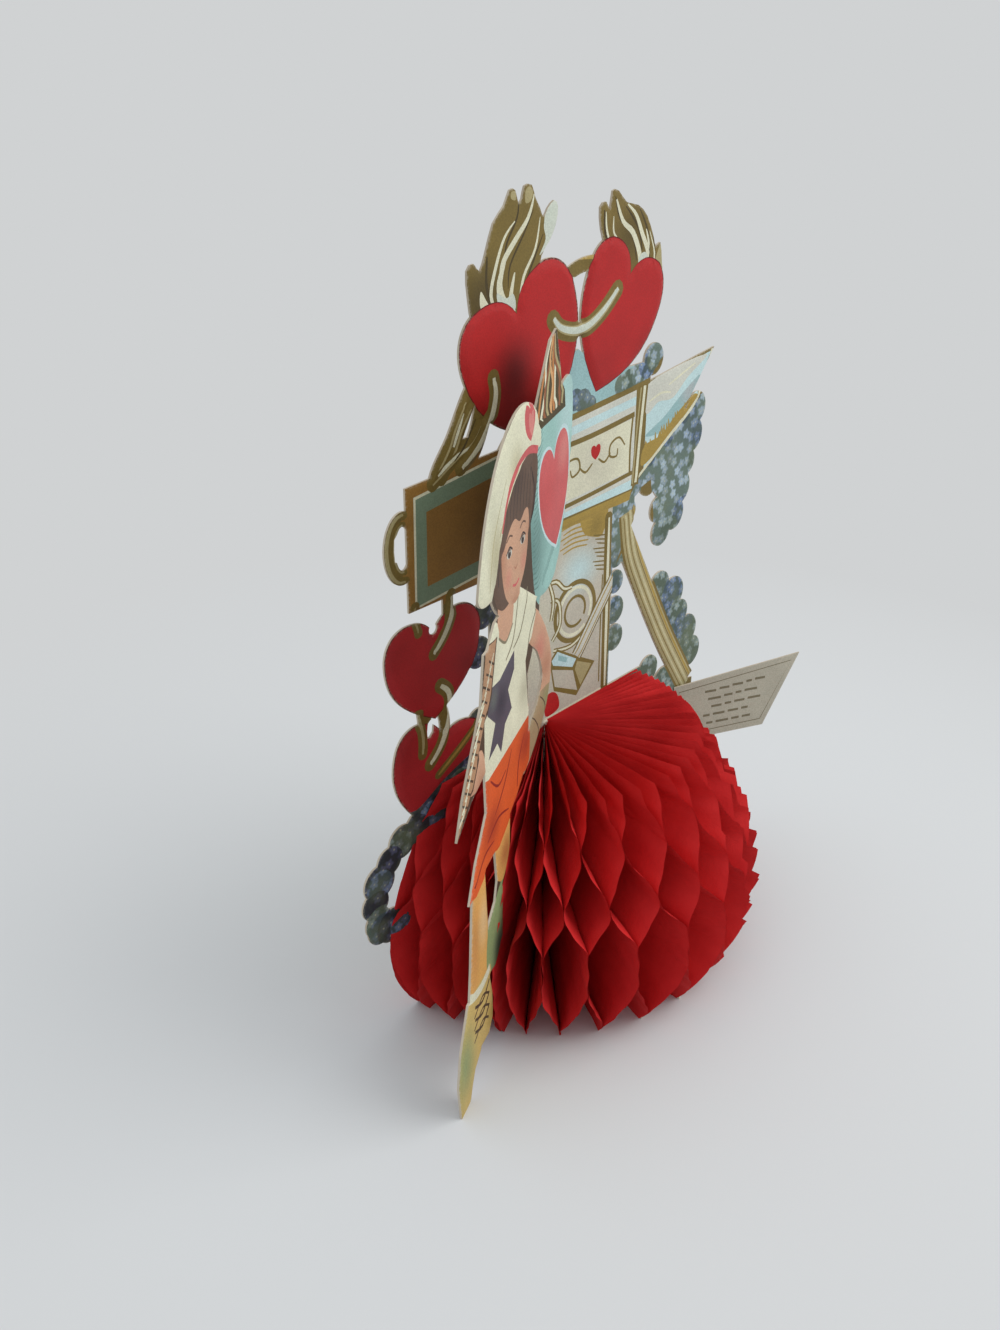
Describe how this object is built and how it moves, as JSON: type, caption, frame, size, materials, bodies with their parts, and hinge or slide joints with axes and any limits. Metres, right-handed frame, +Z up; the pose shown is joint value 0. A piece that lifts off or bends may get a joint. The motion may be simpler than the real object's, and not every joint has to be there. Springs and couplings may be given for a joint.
{
  "type": "pop up card",
  "caption": "Die-cut printed stand-up card: flat scene board, angled figure board and slanted verse tag around a fan-shaped honeycomb tissue skirt.",
  "frame": {"origin": "foot of the spine where all tissue sheets are gathered, on the surface that the card stands on, at the scene board's printed face", "axes": "+Z up, +X along the scene board to the reader's right, -Y out of its printed face towards the reader"},
  "size_m": [0.1603, 0.0555, 0.1861],
  "materials": {
    "printed_board": "lithographed, satin",
    "printed_figure": "lithographed, satin",
    "red_tissue": "matt crinkled tissue",
    "verse_stock": "matt printed",
    "stitch_thread": "twisted cotton"
  },
  "bodies": {
    "root": {"scene_board": "printed_board", "figure_board": "printed_figure", "tissue_left": "red_tissue", "tissue_right": "red_tissue", "verse_card": "verse_stock", "spine_stitch": "stitch_thread"}
  },
  "joints": []
}
